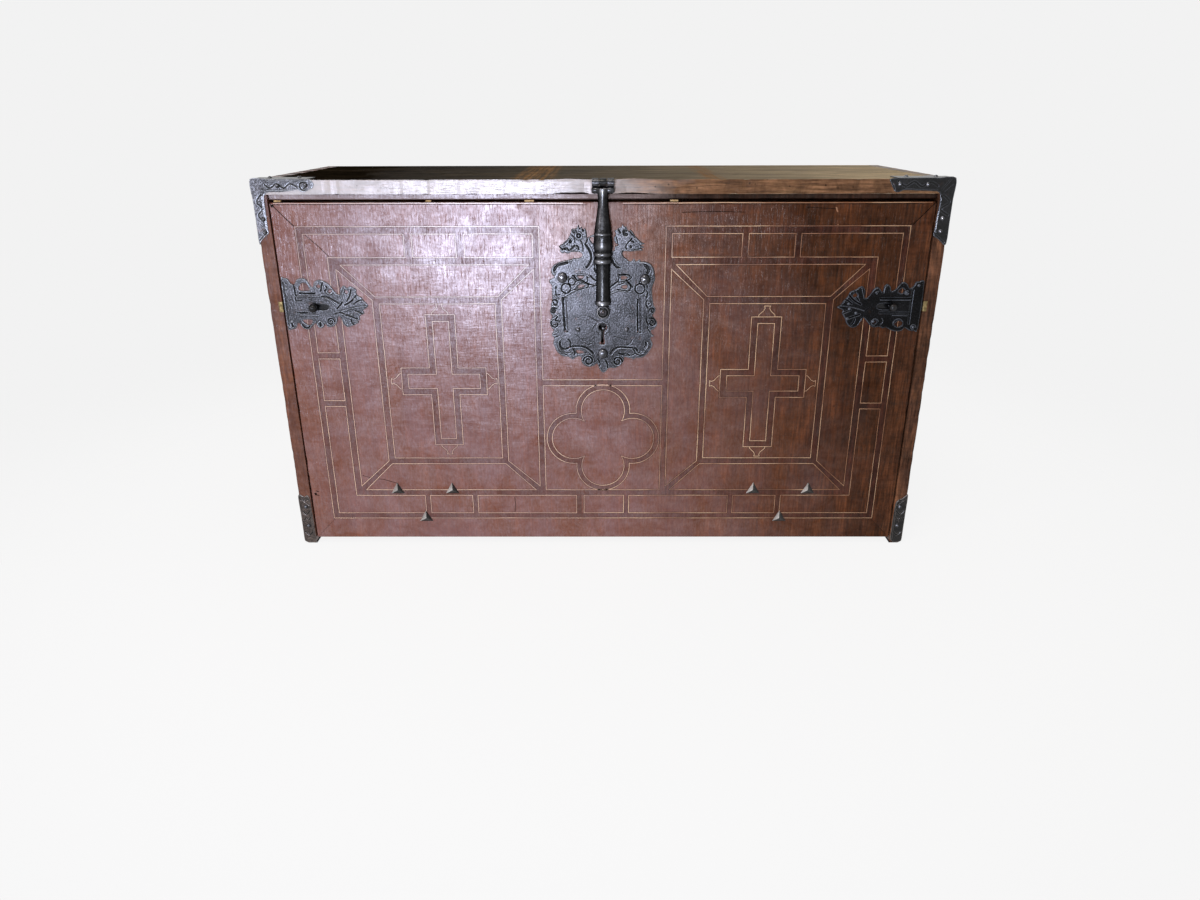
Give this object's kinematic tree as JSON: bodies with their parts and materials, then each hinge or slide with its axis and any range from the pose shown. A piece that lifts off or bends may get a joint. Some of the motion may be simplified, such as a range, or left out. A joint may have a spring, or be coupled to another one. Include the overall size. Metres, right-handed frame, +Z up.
{
  "type": "vargueno",
  "caption": "Fall-front writing chest in dovetailed walnut with line inlay, pierced iron lock plate, hasp, side bolts and inner drawers.",
  "frame": {"origin": "middle of the underside of the carcass", "axes": "+X along the width, to the right seen from the front; +Y from the fall front to the back; +Z up"},
  "size_m": [1.078, 0.4208, 0.6069],
  "materials": {
    "fall_walnut": "waxed red-brown walnut with line inlay",
    "carcass_walnut": "waxed walnut, worn at the edges",
    "top_walnut": "dark polished walnut",
    "case_wood": "plain oiled walnut",
    "drawer_wood": "walnut fronts with inlay, pine trays",
    "turned_knob": "turned boxwood",
    "inlay": "pale boxwood stringing",
    "inlay_dark": "dark banding",
    "wrought_iron": "forged, chiselled and blackened iron",
    "brass": "aged brass"
  },
  "bodies": {
    "root": {"back_board": "case_wood", "bolt_strikes": "brass", "bottom_board": "carcass_walnut", "case_dividers": "case_wood", "case_shelves": "case_wood", "corner_strap_left": "wrought_iron", "corner_strap_right": "wrought_iron", "handle_plate_left": "wrought_iron", "handle_plate_right": "wrought_iron", "hasp_eye": "wrought_iron", "hasp_pin": "wrought_iron", "hinge_case_leaf_left": "wrought_iron", "hinge_case_leaf_right": "wrought_iron", "hinge_pin_left": "wrought_iron", "hinge_pin_right": "wrought_iron", "pigeonhole_arch": "case_wood", "shoe_left": "wrought_iron", "shoe_right": "wrought_iron", "side_board_left": "carcass_walnut", "side_board_right": "carcass_walnut", "strap_nails": "wrought_iron", "top_board": "top_walnut", "top_rail": "carcass_walnut"},
    "fall": {"fall_board": "fall_walnut", "fall_batten_left": "fall_walnut", "fall_batten_right": "fall_walnut", "lock_plate": "wrought_iron", "lock_plate_studs": "wrought_iron", "lock_case": "wrought_iron", "bolt_plate_left": "wrought_iron", "bolt_plate_right": "wrought_iron", "hinge_fall_leaf_left": "wrought_iron", "hinge_fall_leaf_right": "wrought_iron", "pyramid_nails": "wrought_iron"},
    "hasp": {"hasp": "wrought_iron"},
    "lock_bolt": {"lock_bolt": "wrought_iron"},
    "side_bolt_left": {"side_bolt_left": "wrought_iron"},
    "side_bolt_right": {"side_bolt_right": "wrought_iron"},
    "handle_left": {"handle_left": "wrought_iron"},
    "handle_right": {"handle_right": "wrought_iron"},
    "cupboard_door": {"cupboard_door": "fall_walnut", "cupboard_pivot_rod": "wrought_iron", "cupboard_knob": "turned_knob"},
    "drawer_bottom_centre": {"drawer_bottom_centre": "drawer_wood", "drawer_knob_bottom_centre": "turned_knob"},
    "drawer_bottom_left": {"drawer_bottom_left": "drawer_wood", "drawer_knob_bottom_left": "turned_knob"},
    "drawer_bottom_right": {"drawer_bottom_right": "drawer_wood", "drawer_knob_bottom_right": "turned_knob"},
    "drawer_middle_left": {"drawer_middle_left": "drawer_wood", "drawer_knob_middle_left": "turned_knob"},
    "drawer_middle_right": {"drawer_middle_right": "drawer_wood", "drawer_knob_middle_right": "turned_knob"},
    "drawer_top_left": {"drawer_top_left": "drawer_wood", "drawer_knob_top_left": "turned_knob"},
    "drawer_top_right": {"drawer_top_right": "drawer_wood", "drawer_knob_top_right": "turned_knob"}
  },
  "joints": [
    {"name": "fall_hinge", "type": "hinge", "parent": "root", "child": "fall", "pos_m": [0, -0.175, 0.008], "axis": [1, 0, 0], "range_deg": [0, 90]},
    {"name": "hasp_swing", "type": "hinge", "parent": "root", "child": "hasp", "pos_m": [0.001, -0.2075, 0.599], "axis": [-1, 0, 0], "range_deg": [0, 175]},
    {"name": "lock_bolt_slide", "type": "slide", "parent": "fall", "child": "lock_bolt", "axis": [1, 0, 0], "range_m": [0, 0.014]},
    {"name": "side_bolt_left_slide", "type": "slide", "parent": "fall", "child": "side_bolt_left", "axis": [1, 0, 0], "range_m": [0, 0.016]},
    {"name": "side_bolt_right_slide", "type": "slide", "parent": "fall", "child": "side_bolt_right", "axis": [-1, 0, 0], "range_m": [0, 0.016]},
    {"name": "handle_left_swing", "type": "hinge", "parent": "root", "child": "handle_left", "pos_m": [-0.5325, 0, 0.4], "axis": [0, 1, 0], "range_deg": [0, 95]},
    {"name": "handle_right_swing", "type": "hinge", "parent": "root", "child": "handle_right", "pos_m": [0.5325, 0, 0.4], "axis": [0, -1, 0], "range_deg": [0, 95]},
    {"name": "drawer_bottom_centre_slide", "type": "slide", "parent": "root", "child": "drawer_bottom_centre", "axis": [0, -1, 0], "range_m": [0, 0.0905]},
    {"name": "drawer_bottom_left_slide", "type": "slide", "parent": "root", "child": "drawer_bottom_left", "axis": [0, -1, 0], "range_m": [0, 0.0905]},
    {"name": "drawer_bottom_right_slide", "type": "slide", "parent": "root", "child": "drawer_bottom_right", "axis": [0, -1, 0], "range_m": [0, 0.0905]},
    {"name": "drawer_middle_left_slide", "type": "slide", "parent": "root", "child": "drawer_middle_left", "axis": [0, -1, 0], "range_m": [0, 0.2305]},
    {"name": "drawer_middle_right_slide", "type": "slide", "parent": "root", "child": "drawer_middle_right", "axis": [0, -1, 0], "range_m": [0, 0.2305]},
    {"name": "drawer_top_left_slide", "type": "slide", "parent": "root", "child": "drawer_top_left", "axis": [0, -1, 0], "range_m": [0, 0.2305]},
    {"name": "drawer_top_right_slide", "type": "slide", "parent": "root", "child": "drawer_top_right", "axis": [0, -1, 0], "range_m": [0, 0.2305]},
    {"name": "cupboard_door_swing", "type": "hinge", "parent": "root", "child": "cupboard_door", "pos_m": [-0.1174, -0.145, 0.3], "axis": [0, 0, -1], "range_deg": [0, 80.5]}
  ],
  "couplings": [
    {"joint": "drawer_bottom_centre_slide", "follows": "fall_hinge", "m_per_rad": 0.0573},
    {"joint": "drawer_bottom_left_slide", "follows": "fall_hinge", "m_per_rad": 0.0573},
    {"joint": "drawer_bottom_right_slide", "follows": "fall_hinge", "m_per_rad": 0.0573},
    {"joint": "drawer_middle_left_slide", "follows": "fall_hinge", "m_per_rad": 0.1464},
    {"joint": "drawer_middle_right_slide", "follows": "fall_hinge", "m_per_rad": 0.1464},
    {"joint": "drawer_top_left_slide", "follows": "fall_hinge", "m_per_rad": 0.1464},
    {"joint": "drawer_top_right_slide", "follows": "fall_hinge", "m_per_rad": 0.1464},
    {"joint": "cupboard_door_swing", "follows": "fall_hinge", "ratio": 0.8889}
  ]
}
